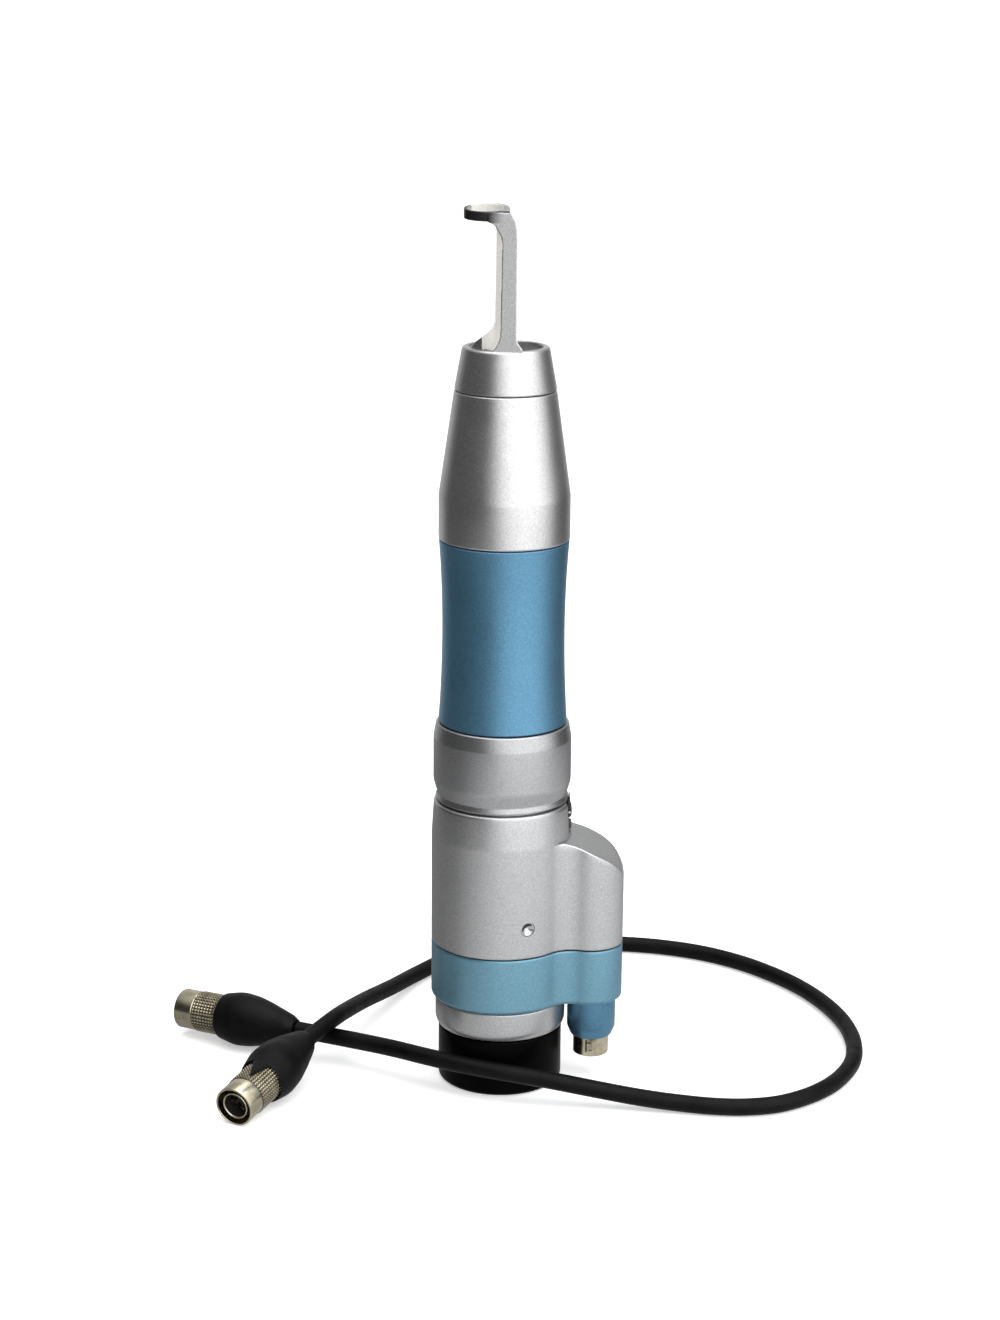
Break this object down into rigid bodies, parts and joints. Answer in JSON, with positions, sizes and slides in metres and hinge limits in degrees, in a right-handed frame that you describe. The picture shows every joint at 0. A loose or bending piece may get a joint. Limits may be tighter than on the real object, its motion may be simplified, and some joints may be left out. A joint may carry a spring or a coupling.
{
  "type": "laser handpiece",
  "caption": "Slim round laser handpiece with a swivelling front, distance tip, side drive pod and a loose control lead with round plugs.",
  "frame": {"origin": "centre of the dust cap's flat bottom, on the beam axis, where the handpiece stands", "axes": "+Z along the beam from the arm coupling to the distance tip; +X from the beam axis toward the drive pod; -Y toward the side with the set screw and the tip's strip"},
  "size_m": [0.196, 0.1381, 0.24],
  "materials": {
    "satin_aluminium": "bead-blasted, clear anodised, satin",
    "blue_anodised": "bead-blasted, blue anodised, satin",
    "black_plastic": "smooth black moulding",
    "black_rubber": "matt black elastomer",
    "nickel": "satin nickel plate, knurled where gripped",
    "steel": "bright stainless",
    "brass": "bright turned or cut brass",
    "bronze_bush": "sintered bronze",
    "amber_optic": "polished, coated infrared optic",
    "clear_optic": "polished clear window",
    "board_green": "solder-masked board",
    "insulator": "moulded insulator"
  },
  "bodies": {
    "rear": {"arm_coupling": "satin_aluminium", "rear_housing": "satin_aluminium", "rear_bearing_plate": "satin_aluminium", "front_bearing_plate": "satin_aluminium", "motor_bracket": "satin_aluminium", "bottom_cover": "blue_anodised", "connector_boss": "blue_anodised", "plug_a_boot": "black_rubber", "plug_b_boot": "black_rubber", "control_cord": "black_rubber", "connector_shell": "nickel", "plug_a_shell": "nickel", "plug_b_shell": "nickel", "set_screw": "steel", "lever_pin": "steel", "drive_motor": "steel", "motor_screw_1": "steel", "motor_screw_2": "steel", "connector_contacts": "brass", "plug_a_contacts": "brass", "plug_b_contacts": "brass", "rear_bush": "bronze_bush", "front_bush": "bronze_bush", "control_board": "board_green", "connector_insert": "insulator", "plug_a_insert": "insulator", "plug_b_insert": "insulator", "motor_lead_plug": "insulator"},
    "front": {"swivel_collar": "satin_aluminium", "swivel_o_ring": "black_rubber", "grip_sleeve": "blue_anodised", "inner_barrel": "satin_aluminium", "nose_cone": "satin_aluminium", "lens_cell": "black_plastic", "focus_lens": "amber_optic", "lens_retainer": "satin_aluminium", "window_cell": "satin_aluminium", "protective_window": "clear_optic", "window_o_ring": "black_rubber"},
    "tip": {"distance_tip": "satin_aluminium"},
    "wedge_rotor": {"wedge_holder": "satin_aluminium", "ring_gear": "brass", "wedge_prism": "amber_optic", "wedge_retainer": "black_plastic"},
    "motor_rotor": {"motor_shaft": "steel", "drive_pinion": "brass"},
    "lever": {"release_lever": "steel"},
    "cap": {"dust_cap": "black_plastic"},
    "lock_sleeve_a": {"plug_a_lock_sleeve": "nickel"},
    "lock_sleeve_b": {"plug_b_lock_sleeve": "nickel"}
  },
  "joints": [
    {"name": "section_swivel", "type": "hinge", "parent": "rear", "child": "front", "pos_m": [0, 0, 0.0804], "axis": [0, 0, 1], "continuous": true},
    {"name": "tip_turn", "type": "hinge", "parent": "front", "child": "tip", "pos_m": [0, 0, 0.1917], "axis": [0, 0, 1], "continuous": true},
    {"name": "wedge_spin", "type": "hinge", "parent": "rear", "child": "wedge_rotor", "pos_m": [0, 0, 0.0577], "axis": [0, 0, 1], "continuous": true},
    {"name": "motor_spin", "type": "hinge", "parent": "rear", "child": "motor_rotor", "pos_m": [0.0224, 0, 0.0577], "axis": [0, 0, 1], "continuous": true},
    {"name": "lever_press", "type": "hinge", "parent": "rear", "child": "lever", "pos_m": [0.01835, 0, 0.077], "axis": [0, 1, 0], "range_deg": [0, 8], "stiffness_Nm_per_rad": 0.02, "springref_deg": -11.46},
    {"name": "cap_pull", "type": "slide", "parent": "rear", "child": "cap", "axis": [0, 0, -1], "range_m": [0, 0.013]},
    {"name": "sleeve_a_slide", "type": "slide", "parent": "rear", "child": "lock_sleeve_a", "axis": [0.8813, -0.4718, 0.0271], "range_m": [0, 0.0015], "stiffness_N_per_m": 500, "springref_m": -0.002},
    {"name": "sleeve_b_slide", "type": "slide", "parent": "rear", "child": "lock_sleeve_b", "axis": [0.4468, 0.8834, 0.1413], "range_m": [0, 0.0015], "stiffness_N_per_m": 500, "springref_m": -0.002}
  ],
  "couplings": [
    {"joint": "motor_spin", "follows": "wedge_spin", "ratio": -2.5}
  ]
}
